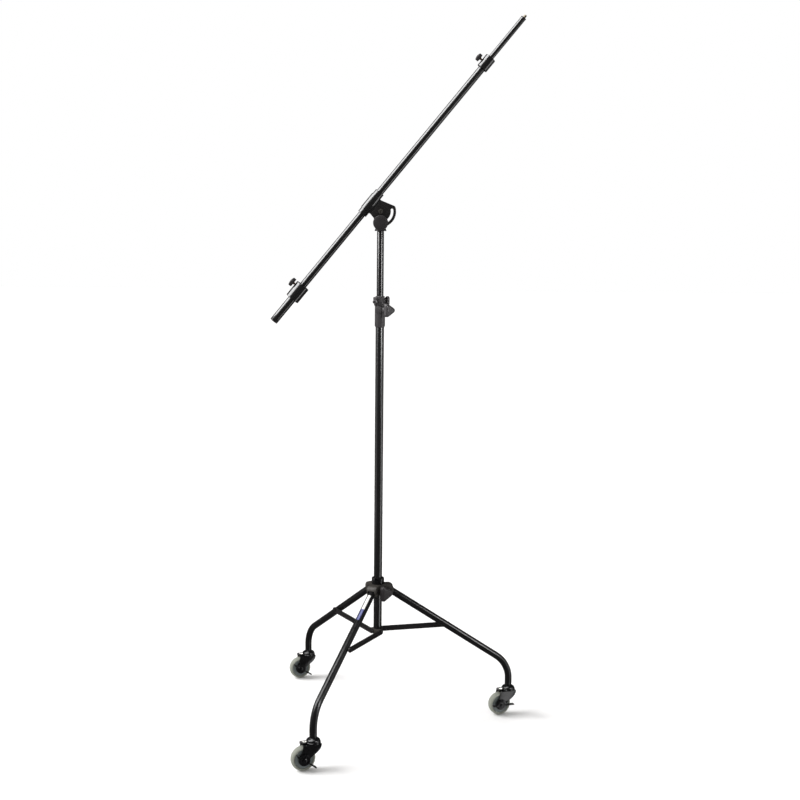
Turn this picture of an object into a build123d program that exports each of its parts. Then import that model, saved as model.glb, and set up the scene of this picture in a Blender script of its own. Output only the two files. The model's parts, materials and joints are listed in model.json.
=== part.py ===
from build123d import *
import math
import os

# A rolling boom microphone stand. Millimetres, +Z up. The origin is on the floor under the mast, the
# mast stands on the Z axis and the boom rises towards +X in the XZ plane.

# Legs, braces and their sliding collar, in the plane (r, z) of one leg
LEG_AZIMUTHS = {"right": 4.45, "back": 124.45, "front": 244.45}
LEG_OD = 23.0
LEG_WALL = 2.0
LEG_LINE_TOP = 461.3           # height at which the leg's straight part would meet the mast axis
LEG_SLOPE = 33.2               # degrees below the horizontal
LEG_REACH = 441.6              # radius of the caster stems
LEG_BEND = 95.0                # bend radius of the leg's centre line
LEG_END_Z = 97.3
LEG_PIVOT_R = 34.0
LEG_TAIL = 8.0                 # tube beyond the pivot, towards the mast
PIN_D = 6.0
FIT = 0.05                     # radial running clearance
BRACE_FOOT_R = 8.0
BRACE_FOOT_Z = 296.0
BRACE_JOIN_R = 236.0
BRACE_SIDE = 15.8              # distance of the bar's inner face from the leg's mid plane
BRACE_DEPTH = 5.0
BRACE_HEIGHT = 17.0
BRACE_WEB = 2.0

# Mast
MAST_OD = 27.0
MAST_ID = 23.0
MAST_BOTTOM = 293.0
MAST_TOP = 1335.0
UPPER_OD = 22.0
UPPER_ID = 18.0
UPPER_BOTTOM = 620.0
UPPER_TOP = 1603.0
CLAMP_BOTTOM = 1299.4
CLAMP_TOP = 1367.0
STOP_BOTTOM = 1367.6
STOP_TOP = 1398.2
CLAMP_KNOB_AZIMUTH = 310.0
CLAMP_KNOB_Z = 1355.0
STOP_KNOB_AZIMUTH = 28.0
LOCK_KNOB_AZIMUTH = 304.45
LOCK_KNOB_Z = 432.0

# Tilt head and boom
PIVOT_Z = 1664.8
BOOM_ANGLE = 50.6              # degrees above the horizontal
BOOM_OFFSET = 40.0             # from the pivot to the boom's axis
SLOT_R = 36.0
SLOT_W = 8.0
SLOT_FROM = -104.0             # centres of the slot's round ends, degrees from +X at rest
SLOT_TO = 8.0
CHEEK_IN = 8.3
CHEEK_OUT = 11.5
CHEEK_R = 49.0
BOOM_OD = 23.0
BOOM_ID = 20.0
BOOM_REAR = -455.0             # along the boom's axis, from the middle of the sleeve
BOOM_FRONT = 553.0
TIP_OD = 17.0
TIP_ID = 14.0
TIP_REAR = 310.0
TIP_FRONT = 736.0
TIP_END = 738.0
STUD_D = 9.52                  # 3/8 inch
STUD_LENGTH = 10.0
REAR_OD = 26.0
REAR_SEAT = 25.6                # the stub's diameter inside its collar
REAR_ID = 23.12
REAR_END = -485.0
LOWER_COLLAR = (-392.0, -337.0, 45.5)
UPPER_COLLAR = (538.0, 581.0, 35.0)

# Casters, in the frame of one caster: x towards the wheel, z up, stem on the z axis
CASTER_AZIMUTH = 200.9
TRAIL = 32.1
WHEEL_R = 37.5
WHEEL_W = 25.0
CORE_R = 22.0
AXLE_D = 8.0
STEM_D = 10.0
FORK_IN = 14.0
FORK_OUT = 17.0
CROWN_Z = (77.0, 81.0)
DOME_R = 23.0
DOME_TOP = 97.0
LEVER_TILT = {"right": 0.0, "back": -33.0, "front": -36.0}


def azimuth_plane(azimuth, origin=(0, 0, 0)):
    """x runs outwards at the azimuth, y to its left and z up."""
    a = math.radians(azimuth)
    return Plane(origin=origin, x_dir=(math.cos(a), math.sin(a), 0), z_dir=(0, 0, 1))


def rod(radius, z0, z1):
    """A cylinder on the z axis."""
    return Pos(0, 0, z0) * Cylinder(radius, z1 - z0, align=(Align.CENTER, Align.CENTER, Align.MIN))


def pipe(outer, inner, z0, z1):
    """A tube on the z axis."""
    return rod(outer, z0, z1) - rod(inner, z0 - 1, z1 + 1)


def block(x, y, z):
    """A box between the given pairs of limits."""
    size = [limits[1] - limits[0] for limits in (x, y, z)]
    middle = [sum(limits) / 2 for limits in (x, y, z)]
    return Pos(*middle) * Box(*size)


def plate(outline, y0, y1):
    """A flat outline in x and z, made solid from y0 to y1."""
    return Pos(0, y1, 0) * extrude(Plane.XZ * outline, y1 - y0)


def across(radius, x, z, y0, y1):
    """A cylinder along y."""
    return plate(Pos(x, z) * Circle(radius), y0, y1)


def outward(shape, azimuth, z):
    """Turns a shape built on the z axis to point outwards at an azimuth, at height z."""
    return azimuth_plane(azimuth, (0, 0, z)) * (Rot(0, 90, 0) * shape)


def grip_outline(radius):
    """A triangle with round corners, the farthest point of each at the radius."""
    corner = radius * 0.36
    centres = PolarLocations(radius - corner, 3)
    return make_hull((Sketch() + [place * Circle(corner) for place in centres]).edges())


def three_sided_grip(radius, z0, z1, edge):
    """A knob grip on the z axis with its outer rim rounded."""
    grip = Pos(0, 0, z0) * extrude(grip_outline(radius), z1 - z0)
    rims = grip.edges().filter_by(GeomType.LINE, reverse=True).group_by(Axis.Z)[-1]
    sides = grip.edges().filter_by(GeomType.LINE).group_by(Axis.Z)[-1]
    return fillet(rims + sides, edge)


# Leg and brace geometry in the (r, z) plane

def leg_line(r):
    return LEG_LINE_TOP - r * math.tan(math.radians(LEG_SLOPE))


LEG_PIVOT = (LEG_PIVOT_R, leg_line(LEG_PIVOT_R))
BRACE_JOIN = (BRACE_JOIN_R, leg_line(BRACE_JOIN_R))
BRACE_FOOT = (BRACE_FOOT_R, BRACE_FOOT_Z)


def leg_tube():
    slope = math.radians(LEG_SLOPE)
    start = (LEG_PIVOT[0] - LEG_TAIL * math.cos(slope), LEG_PIVOT[1] + LEG_TAIL * math.sin(slope))
    corner = (LEG_REACH, leg_line(LEG_REACH))
    end = (LEG_REACH, LEG_END_Z)
    path = Plane.XZ * FilletPolyline(start, corner, end, radius=LEG_BEND)
    section = Plane(origin=path @ 0, z_dir=path % 0)
    tube = sweep(section * Circle(LEG_OD / 2), path=path)
    tube -= sweep(section * Circle(LEG_OD / 2 - LEG_WALL), path=path)
    return tube - across(PIN_D / 2 + FIT, *LEG_PIVOT, -LEG_OD, LEG_OD)


def caster_stem():
    """A plug in the leg's end, with the pin that the caster turns on and its retaining head."""
    plug = rod(LEG_OD / 2 - LEG_WALL - FIT, LEG_END_Z, LEG_END_Z + 22)
    pin = rod(STEM_D / 2, CROWN_Z[0] - 0.4, LEG_END_Z)
    head = rod(STEM_D / 2 + 3, CROWN_Z[0] - 3.4, CROWN_Z[0] - 0.4)
    return Pos(LEG_REACH, 0, 0) * (plug + pin + head)


def brace_bar():
    """A channel bar with rounded ends that lies beside the leg, with its outer rivet."""
    run = math.hypot(BRACE_JOIN[0] - BRACE_FOOT[0], BRACE_JOIN[1] - BRACE_FOOT[1])
    rise = math.degrees(math.atan2(BRACE_JOIN[1] - BRACE_FOOT[1], BRACE_JOIN[0] - BRACE_FOOT[0]))
    outer = SlotCenterToCenter(run, BRACE_HEIGHT)
    inner = SlotCenterToCenter(run, BRACE_HEIGHT - 2 * BRACE_WEB)
    out = BRACE_SIDE + BRACE_DEPTH
    bar = plate(outer, BRACE_SIDE, out) - plate(inner, BRACE_SIDE + BRACE_WEB, out + 1)
    bar -= across(PIN_D / 2 + FIT, -run / 2, 0, BRACE_SIDE - 1, out)
    bar -= across(PIN_D / 2 + 0.02, run / 2, 0, BRACE_SIDE - 1, out)
    rivet = across(PIN_D / 2, run / 2, 0, BRACE_SIDE - 0.1, BRACE_SIDE + BRACE_WEB + 0.1)
    rivet += across(PIN_D / 2 + 2, run / 2, 0, LEG_OD / 2 + 0.5, BRACE_SIDE - 0.05)
    rivet += across(PIN_D / 2 + 2.5, run / 2, 0, BRACE_SIDE + BRACE_WEB + 0.05, BRACE_SIDE + BRACE_WEB + 2.5)
    middle = [(a + b) / 2 for a, b in zip(BRACE_FOOT, BRACE_JOIN)]
    place = Pos(middle[0], 0, middle[1]) * Rot(0, -rise, 0)
    return place * (bar + rivet)


# Sliding leg collar

HOOD_R = 17.5
HOOD_SIDE = 15.6
HOOD_GAP = LEG_OD / 2 + 0.5
COLLAR_R = 18.0
COLLAR_BOTTOM = 420.0
HOOD_TOP = LEG_PIVOT[1] + HOOD_R


def leg_hood():
    """The hood over one leg's end: two ears and a roof, in the leg's own plane."""
    x, z = LEG_PIVOT
    outline = Pos(x, z) * Circle(HOOD_R) + Pos(x / 2, z) * Rectangle(x, 2 * HOOD_R)
    return plate(outline, -HOOD_SIDE, HOOD_SIDE)


def leg_room():
    """The room in a hood for the leg's end, from spread to folded."""
    x, z = LEG_PIVOT
    slope = math.radians(LEG_SLOPE)
    lift = LEG_OD / 2 + 0.8
    top = (x + lift * math.sin(slope), z + lift * math.cos(slope))
    far = (top[0] + 60 * math.cos(slope), top[1] - 60 * math.sin(slope))
    room = make_face(Polyline((x, z), top, far, (far[0], z - 60), (x - 13, z - 60), (x - 13, z), close=True))
    room += Pos(x, z) * Circle(HOOD_R - 3)
    return plate(room, -HOOD_GAP, HOOD_GAP)


def leg_collar():
    body = rod(COLLAR_R, COLLAR_BOTTOM, HOOD_TOP)
    for azimuth in LEG_AZIMUTHS.values():
        body += azimuth_plane(azimuth) * leg_hood()
    body += outward(rod(9, 10, 37), LOCK_KNOB_AZIMUTH, LOCK_KNOB_Z)
    body += azimuth_plane(-14) * block((12, 22.5), (-4.5, 4.5), (399.5, COLLAR_BOTTOM + 6))
    for azimuth in LEG_AZIMUTHS.values():
        body -= azimuth_plane(azimuth) * leg_room()
        body -= azimuth_plane(azimuth) * across(PIN_D / 2 + FIT, *LEG_PIVOT, -HOOD_SIDE - 1, HOOD_SIDE + 1)
    body -= outward(rod(4 + FIT, 0, 40), LOCK_KNOB_AZIMUTH, LOCK_KNOB_Z)
    return body - rod(MAST_OD / 2 + 0.08, 380, HOOD_TOP + 1)


def collar_crown():
    """The ring on top of the collar, scooped at the front and back."""
    crown = pipe(20.2, MAST_OD / 2 + 0.3, HOOD_TOP + 0.05, 477)
    top_circles = crown.edges().filter_by(GeomType.CIRCLE).group_by(Axis.Z)[-1]
    crown = chamfer(top_circles.sort_by(SortBy.RADIUS)[-1], 1.2)
    return crown - across(13.5, 0, 483, -30, 30)


def leg_pivot_pins():
    """Three pins with a head at one end and a nut at the other."""
    pins = Part()
    for azimuth in LEG_AZIMUTHS.values():
        pin = across(PIN_D / 2, *LEG_PIVOT, -HOOD_SIDE, HOOD_SIDE)
        pin += across(PIN_D / 2 + 2.2, *LEG_PIVOT, HOOD_SIDE, HOOD_SIDE + 2.4)
        pin += across(PIN_D / 2 + 2, *LEG_PIVOT, -HOOD_SIDE - 3, -HOOD_SIDE)
        pins += azimuth_plane(azimuth) * pin
    return pins


def leg_lock_knob():
    grip = three_sided_grip(27, 38, 55, 6)
    stem = rod(4, MAST_OD / 2 + 0.4, 38)
    return outward(Rot(0, 0, 90) * (grip + stem), LOCK_KNOB_AZIMUTH, LOCK_KNOB_Z)


# Mast

def lower_mast_tube():
    return pipe(MAST_OD / 2, MAST_ID / 2, MAST_BOTTOM, MAST_TOP)


def mast_foot_bracket():
    """A band round the mast's foot with three flat pads for the braces."""
    low, high = BRACE_FOOT_Z - 8.5, BRACE_FOOT_Z + 8.5
    pad_face = BRACE_SIDE - 0.4
    band = rod(pad_face, low, high)
    for azimuth in LEG_AZIMUTHS.values():
        band += azimuth_plane(azimuth) * block((-0.5, 16.5), (4, pad_face), (low, high))
    band -= rod(MAST_OD / 2 + 0.02, low - 1, high + 1)
    for azimuth in LEG_AZIMUTHS.values():
        band -= azimuth_plane(azimuth) * across(PIN_D / 2, *BRACE_FOOT, 10, 20)
    return band


def brace_foot_pins():
    """Three shouldered screws that the braces' inner ends turn on."""
    pins = Part()
    pad_face = BRACE_SIDE - 0.4
    web_face = BRACE_SIDE + BRACE_WEB
    for azimuth in LEG_AZIMUTHS.values():
        pin = across(PIN_D / 2, *BRACE_FOOT, MAST_OD / 2 + 0.1, web_face + 0.3)
        pin += across(PIN_D / 2 + 2.4, *BRACE_FOOT, web_face + 0.3, web_face + 2.8)
        pins += azimuth_plane(azimuth) * (pin - rod(MAST_OD / 2 + 0.02, 0, 400))
    return pins


def mast_foot_cap():
    cap = rod(MAST_ID / 2 - 0.02, MAST_BOTTOM, MAST_BOTTOM + 14)
    cap += rod(MAST_OD / 2, MAST_BOTTOM - 4, MAST_BOTTOM)
    cap = chamfer(cap.edges().group_by(Axis.Z)[0], 1.5)
    return cap


def height_clamp_body():
    """The clamp at the top of the lower mast: a socket, a square nut housing and the screw's boss."""
    body = rod(16.5, CLAMP_BOTTOM, CLAMP_TOP)
    body = chamfer(body.edges().group_by(Axis.Z)[0], 5.0, 2.6)
    body += azimuth_plane(261) * block((8, 18.6), (-11, 11), (CLAMP_TOP - 21, CLAMP_TOP - 1))
    body += outward(rod(9.5, 8, 33), CLAMP_KNOB_AZIMUTH, CLAMP_KNOB_Z)
    body -= rod(MAST_OD / 2 + 0.02, CLAMP_BOTTOM - 1, MAST_TOP + 0.1)
    body -= rod(13.05, MAST_TOP, CLAMP_TOP + 1)
    body -= azimuth_plane(286) * block((10, 24), (-1, 1), (MAST_TOP - 4, CLAMP_TOP + 1))
    return body - outward(rod(4 + FIT, 0, 40), CLAMP_KNOB_AZIMUTH, CLAMP_KNOB_Z)


def height_clamp_bush():
    bush = pipe(13.0, UPPER_OD / 2 + 0.06, MAST_TOP + 0.3, CLAMP_TOP)
    return bush - outward(rod(4.4, 0, 40), CLAMP_KNOB_AZIMUTH, CLAMP_KNOB_Z)


def height_clamp_knob():
    grip = three_sided_grip(23, 36, 52, 6)
    stem = rod(4, UPPER_OD / 2 + 0.4, 36)
    return outward(Rot(0, 0, 90) * (grip + stem), CLAMP_KNOB_AZIMUTH, CLAMP_KNOB_Z)


def upper_mast_tube():
    return pipe(UPPER_OD / 2, UPPER_ID / 2, UPPER_BOTTOM, UPPER_TOP)


def upper_mast_plug():
    """The plug that guides the upper mast's foot inside the lower mast."""
    plug = rod(UPPER_ID / 2 - 0.02, UPPER_BOTTOM, UPPER_BOTTOM + 22)
    return plug + rod(MAST_ID / 2 - 0.08, UPPER_BOTTOM - 10, UPPER_BOTTOM)


def stop_collar():
    middle = (STOP_BOTTOM + STOP_TOP) / 2
    ring = rod(15, STOP_BOTTOM, STOP_TOP)
    ring = chamfer(ring.edges().filter_by(GeomType.CIRCLE), 0.8)
    ring += outward(rod(7, 8, 19), STOP_KNOB_AZIMUTH, middle)
    ring -= rod(UPPER_OD / 2 + 0.06, STOP_BOTTOM - 1, STOP_TOP + 1)
    return ring - outward(rod(3 + FIT, 0, 30), STOP_KNOB_AZIMUTH, middle)


def stop_collar_nut():
    """The star nut on the far side of the stop collar, with the screw's point."""
    star = Sketch() + Circle(10.5) + [place * Circle(4) for place in PolarLocations(11.5, 5)]
    nut = Pos(0, 0, 15.1) * extrude(star, 4.5)
    nut += rod(4.5, 19.6, 22.4)
    point = Pos(0, 0, 22.4) * Cone(4.5, 1.2, 3, align=(Align.CENTER, Align.CENTER, Align.MIN))
    middle = (STOP_BOTTOM + STOP_TOP) / 2
    return outward(nut + point, STOP_KNOB_AZIMUTH + 180, middle)


def stop_collar_knob():
    """A knob whose back is hollow, with three ribs."""
    back, front = 20, 31
    wall = 2.5
    grip = three_sided_grip(17, back, front, 2)
    hollow = Pos(0, 0, back) * extrude(offset(grip_outline(17), -wall), front - back - wall)
    rib = block((0, 14), (-0.7, 0.7), (back + 0.5, front - 0.5))
    knob = grip - hollow + [place * rib for place in PolarLocations(0, 3)]
    knob += rod(3, UPPER_OD / 2 + 0.4, back + 1) + rod(5, back, front - 1)
    return outward(Rot(0, 0, 90) * knob, STOP_KNOB_AZIMUTH, (STOP_BOTTOM + STOP_TOP) / 2)


# Tilt head

TONGUE = 8.0
FLANGE_R = 15.0
FLANGE_TOP = 1614.4
SPIGOT = 28.0
CLAMP_Z = PIVOT_Z - SLOT_R
SKIRT_BOTTOM = 1603.4
SKIRT_TOP = 1614.2
SKIRT_R = (18.8, 15.8)


def tilt_head_block():
    """A spigot in the upper mast's top that rises through a flange into a tongue between the cheeks."""
    rise = PIVOT_Z - FLANGE_TOP
    tongue = Pos(0, PIVOT_Z) * Circle(14) + Pos(0, PIVOT_Z - rise / 2) * Rectangle(28, rise)
    body = plate(tongue, -TONGUE, TONGUE) + rod(FLANGE_R, UPPER_TOP + 0.3, FLANGE_TOP)
    body += rod(UPPER_ID / 2 - 0.07, UPPER_TOP - SPIGOT, UPPER_TOP + 1)
    body -= across(4 + FIT, 0, PIVOT_Z, -20, 20)
    return body - across(3.5 + FIT, 0, CLAMP_Z, -20, 20)


def head_skirt():
    """A flared ring round the foot of the head."""
    flare = Cone(*SKIRT_R, SKIRT_TOP - SKIRT_BOTTOM, align=(Align.CENTER, Align.CENTER, Align.MIN))
    return Pos(0, 0, SKIRT_BOTTOM) * flare - rod(FLANGE_R + 0.02, SKIRT_BOTTOM - 1, SKIRT_TOP + 1)


def tilt_bolts():
    """The pivot bolt with its nut, and the nut of the clamp screw."""
    pivot = across(4, 0, PIVOT_Z, -CHEEK_OUT - 0.4, CHEEK_OUT + 0.4)
    pivot += across(8, 0, PIVOT_Z, -CHEEK_OUT - 4.4, -CHEEK_OUT - 0.4)
    hexagon = RegularPolygon(7.5, 6)
    pivot += plate(Pos(0, PIVOT_Z) * hexagon, CHEEK_OUT + 0.4, CHEEK_OUT + 6.4)
    nut = plate(Pos(0, CLAMP_Z) * hexagon, CHEEK_OUT + 0.4, CHEEK_OUT + 6.4)
    nut -= across(3.5 + FIT, 0, CLAMP_Z, 0, 30)
    return pivot + nut


def tilt_knob():
    """A round clamp knob with its boss and its screw through both slots."""
    grip = across(24, 0, CLAMP_Z, -35, -21)
    grip = fillet(grip.edges().group_by(Axis.Y)[0], 3.5)
    boss = across(11, 0, CLAMP_Z, -21, -CHEEK_OUT - 0.6)
    return grip + boss + across(3.5, 0, CLAMP_Z, -CHEEK_OUT - 1, CHEEK_OUT + 7)


# Boom parts, in the boom's frame: z along the boom from the sleeve's middle, x square to it towards
# the head, y as the world's

def boom_plane():
    b = math.radians(BOOM_ANGLE)
    square = (math.sin(b), 0, -math.cos(b))
    middle = (-BOOM_OFFSET * square[0], 0, PIVOT_Z - BOOM_OFFSET * square[2])
    return Plane(origin=middle, x_dir=square, z_dir=(math.cos(b), 0, math.sin(b)))


BUSH_R = 15.5
BUSH_HALF = 44.0
STRAP_R = 17.2
STRAP_HALF = 27.5


def boom_bush():
    bush = pipe(BUSH_R, BOOM_OD / 2 + 0.06, -BUSH_HALF, BUSH_HALF)
    return bush


def boom_strap():
    """The strap that holds the bush: a tube on two necks that the cheeks are welded to."""
    strap = rod(STRAP_R, -STRAP_HALF, STRAP_HALF)
    neck = block((0, BOOM_OFFSET - 21), (-CHEEK_OUT, CHEEK_OUT), (-STRAP_HALF, STRAP_HALF))
    return strap + neck - rod(BUSH_R + 0.02, -50, 50)


def cheek_outline():
    """One cheek, in x and z about the pivot at rest."""
    def spot(angle, radius):
        a = math.radians(angle)
        return (radius * math.cos(a), radius * math.sin(a))

    def boom_spot(along, square):
        b = math.radians(BOOM_ANGLE)
        return (along * math.cos(b) + square * math.sin(b), along * math.sin(b) - square * math.cos(b))

    corner, last = spot(20, CHEEK_R - 1.0), spot(-111, CHEEK_R)
    rim = ThreePointArc(corner, spot(-45, CHEEK_R), last)
    sides = Polyline(last, boom_spot(-30, -4), boom_spot(-27, -20.9), boom_spot(27, -20.9), corner)
    face = make_face(Curve() + [rim, sides])
    face = fillet(face.vertices().sort_by_distance(Vector(*corner))[0], 7)
    slot = SlotArc(ThreePointArc(spot(SLOT_FROM, SLOT_R), spot(-48, SLOT_R), spot(SLOT_TO, SLOT_R)), SLOT_W)
    return face - slot - Circle(4 + FIT)


def boom_cheeks():
    """Two slotted cheeks, one each side of the head's tongue."""
    outline = Pos(0, PIVOT_Z) * cheek_outline()
    return plate(outline, -CHEEK_OUT, -CHEEK_IN) + plate(outline, CHEEK_IN, CHEEK_OUT)


def boom_tube():
    return pipe(BOOM_OD / 2, BOOM_ID / 2, BOOM_REAR, BOOM_FRONT)


def screw_hole(s, radius):
    """A hole from the boom's axis away from the head, for a thumb screw."""
    return Pos(0, 0, s) * Rot(0, -90, 0) * rod(radius + FIT, 0, 60)


THUMB_LOWER = -350.0
THUMB_UPPER = 558.0
THUMB_R = 3.0
THUMB_GRIP = 10.0
THUMB_DOME = 3.2


def boom_upper_collar():
    low, high, across_d = UPPER_COLLAR
    collar = rod(across_d / 2, low, high)
    collar = chamfer(collar.edges().filter_by(GeomType.CIRCLE), 1.0)
    collar -= rod(BOOM_OD / 2 + 0.02, low - 1, BOOM_FRONT + 0.05)
    collar -= rod(TIP_OD / 2 + 0.06, low, high + 1)
    return collar - screw_hole(THUMB_UPPER, THUMB_R)


def boom_lower_collar():
    low, high, across_d = LOWER_COLLAR
    collar = rod(across_d / 2, low, high)
    collar = chamfer(collar.edges().filter_by(GeomType.CIRCLE), 1.0)
    collar -= rod(REAR_SEAT / 2 + 0.02, low - 1, (low + high) / 2)
    collar -= rod(BOOM_OD / 2 + 0.07, low, high + 1)
    return collar - screw_hole(THUMB_LOWER, THUMB_R)


def rear_stub():
    """The tube behind the collar, turned down where it's pressed into the collar's bore."""
    low, high, _ = LOWER_COLLAR
    stub = rod(REAR_OD / 2, REAR_END + 3, low) + rod(REAR_SEAT / 2, low, (low + high) / 2 - 0.1)
    return stub - rod(REAR_ID / 2, REAR_END, high)


def rear_stub_cap():
    cap = rod(REAR_OD / 2, REAR_END, REAR_END + 3) + rod(REAR_ID / 2 - 0.02, REAR_END + 3, REAR_END + 12)
    return chamfer(cap.edges().group_by(Axis.Z)[0], 1.0)


def boom_tip_tube():
    return pipe(TIP_OD / 2, TIP_ID / 2, TIP_REAR, TIP_FRONT)


def boom_tip_stud():
    """The tip's end cap with the threaded stud that carries the microphone clip."""
    stud = rod(TIP_ID / 2 - 0.02, TIP_FRONT - 14, TIP_FRONT) + rod(9.3, TIP_FRONT, TIP_END)
    return stud + rod(STUD_D / 2, TIP_END, TIP_END + STUD_LENGTH)


def thumb_screw(s, seat, gap, grip_r):
    """A thumb screw that points away from the head: shank and a thick grip with a domed face."""
    shank = rod(THUMB_R, seat, gap)
    face = gap + THUMB_GRIP + THUMB_DOME
    dome_r = (grip_r ** 2 + THUMB_DOME ** 2) / (2 * THUMB_DOME)
    grip = rod(grip_r, gap, face) & Pos(0, 0, face - dome_r) * Sphere(dome_r)
    return Pos(0, 0, s) * Rot(0, -90, 0) * (shank + grip)


# Casters

def side_sweep():
    """The outline of one fork side, in x and z of the caster."""
    nose = Spline((-22, 79), (-20, 71), (-12, 60), (4, 48), (17, 36))
    arm = make_face(nose + Polyline((17, 36), (40, 26), (48, 48), (39, 60), (35, 81), (-22, 81), (-22, 79)))
    return arm + Pos(TRAIL, WHEEL_R) * Circle(18)


def caster_fork():
    fork = plate(side_sweep(), FORK_IN, FORK_OUT) + plate(side_sweep(), -FORK_OUT, -FORK_IN)
    fork += block((-22, 34), (-FORK_OUT, FORK_OUT), CROWN_Z)
    fork -= rod(STEM_D / 2 + FIT, 60, 100)
    return fork - across(AXLE_D / 2 + 0.02, TRAIL, WHEEL_R, -30, 30)


def caster_dome():
    """The domed housing over the swivel bearing."""
    low = CROWN_Z[1] + 0.05
    section = make_face(
        Polyline((0, low), (DOME_R, low), (DOME_R, low + 7))
        + ThreePointArc((DOME_R, low + 7), (DOME_R - 2.9, low + 12.5), (12.5, DOME_TOP))
        + Polyline((12.5, DOME_TOP), (0, DOME_TOP), (0, low))
    )
    dome = revolve(Plane.XZ * section, Axis.Z)
    return dome - rod(STEM_D / 2 + FIT, 60, 110)


def caster_hardware():
    """The axle with its nut, and the swivel lock's plunger."""
    axle = across(AXLE_D / 2, TRAIL, WHEEL_R, -FORK_OUT - 5, 23)
    axle += plate(Pos(TRAIL, WHEEL_R) * RegularPolygon(7, 6), -FORK_OUT - 5, -FORK_OUT - 0.05)
    axle += across(6.5, TRAIL, WHEEL_R, 23, 25.5)
    plunger = Pos(0, 0, CROWN_Z[1] + 5.8) * Rot(0, 90, 0) * rod(5.2, DOME_R + 0.1, DOME_R + 19)
    return axle + chamfer(plunger.edges().group_by(Axis.X)[-1], 0.8)


def tyre():
    half = WHEEL_W / 2
    band = across(WHEEL_R, TRAIL, WHEEL_R, -half, half)
    band = fillet(band.edges().filter_by(GeomType.CIRCLE), 5)
    return band - across(CORE_R, TRAIL, WHEEL_R, -half - 1, half + 1)


def wheel_core():
    core = across(CORE_R - 0.02, TRAIL, WHEEL_R, -9, 9) + across(12, TRAIL, WHEEL_R, -13.5, 13.5)
    return core - across(AXLE_D / 2 + FIT, TRAIL, WHEEL_R, -20, 20)


def brake_lever(tilt):
    """A rocker round the axle's near end with two foot tabs."""
    near, far = FORK_OUT + 0.4, 22.6
    rocker = across(17.5, 0, 0, near, far)
    rocker += block((-30, -12), (near, 28), (-1.7, 1.7)) + block((12, 41), (near, 28), (-1.7, 1.7))
    rocker += across(2.4, -30, 0.7, near, 28) + across(2.2, 41, 0.5, near, 28)
    rocker -= across(AXLE_D / 2 + FIT, 0, 0, 0, 40)
    return Pos(TRAIL, 0, WHEEL_R) * Rot(0, tilt, 0) * Rot(0, 180, 0) * rocker


def save(name, shape):
    export_step(shape, f"parts/{name}.step")


os.makedirs("parts", exist_ok=True)

save("lower_mast_tube", lower_mast_tube())
save("mast_foot_bracket", mast_foot_bracket())
save("mast_foot_cap", mast_foot_cap())
save("brace_foot_pins", brace_foot_pins())
save("height_clamp_body", height_clamp_body())
save("height_clamp_bush", height_clamp_bush())
save("height_clamp_knob", height_clamp_knob())
save("leg_collar", leg_collar())
save("collar_crown", collar_crown())
save("leg_pivot_pins", leg_pivot_pins())
save("leg_lock_knob", leg_lock_knob())

for side, azimuth in LEG_AZIMUTHS.items():
    leg_plane = azimuth_plane(azimuth)
    save(f"leg_tube_{side}", leg_plane * leg_tube())
    save(f"caster_stem_{side}", leg_plane * caster_stem())
    save(f"brace_bar_{side}", leg_plane * brace_bar())
    stem_foot = leg_plane.from_local_coords((LEG_REACH, 0, 0))
    caster_plane = azimuth_plane(CASTER_AZIMUTH, stem_foot)
    save(f"caster_fork_{side}", caster_plane * caster_fork())
    save(f"caster_dome_{side}", caster_plane * caster_dome())
    save(f"caster_hardware_{side}", caster_plane * caster_hardware())
    save(f"tyre_{side}", caster_plane * tyre())
    save(f"wheel_core_{side}", caster_plane * wheel_core())
    save(f"brake_lever_{side}", caster_plane * brake_lever(LEVER_TILT[side]))

save("upper_mast_tube", upper_mast_tube())
save("upper_mast_plug", upper_mast_plug())
save("stop_collar", stop_collar())
save("stop_collar_nut", stop_collar_nut())
save("stop_collar_knob", stop_collar_knob())
save("tilt_head_block", tilt_head_block())
save("head_skirt", head_skirt())
save("tilt_bolts", tilt_bolts())
save("tilt_knob", tilt_knob())
save("boom_cheeks", boom_cheeks())

boom = boom_plane()
save("boom_strap", boom * boom_strap())
save("boom_bush", boom * boom_bush())
save("boom_tube", boom * boom_tube())
save("boom_upper_collar", boom * boom_upper_collar())
save("boom_lower_collar", boom * boom_lower_collar())
save("rear_stub", boom * rear_stub())
save("rear_stub_cap", boom * rear_stub_cap())
save("boom_tip_tube", boom * boom_tip_tube())
save("boom_tip_stud", boom * boom_tip_stud())
save("thumb_screw_lower", boom * thumb_screw(THUMB_LOWER, BOOM_OD / 2 + 0.4, 27.5, 14.3))
save("thumb_screw_upper", boom * thumb_screw(THUMB_UPPER, TIP_OD / 2 + 0.4, 23.5, 12))
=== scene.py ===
import json
import math

import bmesh
import bpy
from mathutils import Matrix, Vector


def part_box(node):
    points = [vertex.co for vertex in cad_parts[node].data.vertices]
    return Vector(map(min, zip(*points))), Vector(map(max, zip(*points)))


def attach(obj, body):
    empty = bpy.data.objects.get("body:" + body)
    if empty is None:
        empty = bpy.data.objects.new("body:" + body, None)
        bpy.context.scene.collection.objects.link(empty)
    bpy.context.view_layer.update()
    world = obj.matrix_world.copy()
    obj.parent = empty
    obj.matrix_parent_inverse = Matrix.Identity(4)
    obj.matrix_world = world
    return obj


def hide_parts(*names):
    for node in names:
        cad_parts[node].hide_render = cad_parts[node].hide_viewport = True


bl_info = {
    "name": "Boom Microphone Stand",
    "version": (1, 0, 0),
    "blender": (4, 5, 0),
    "location": "3D View > Sidebar > Stand",
    "description": "Builds the visible pieces and finishes of a rolling boom stand round its CAD frame",
    "category": "Add Mesh",
}

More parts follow.
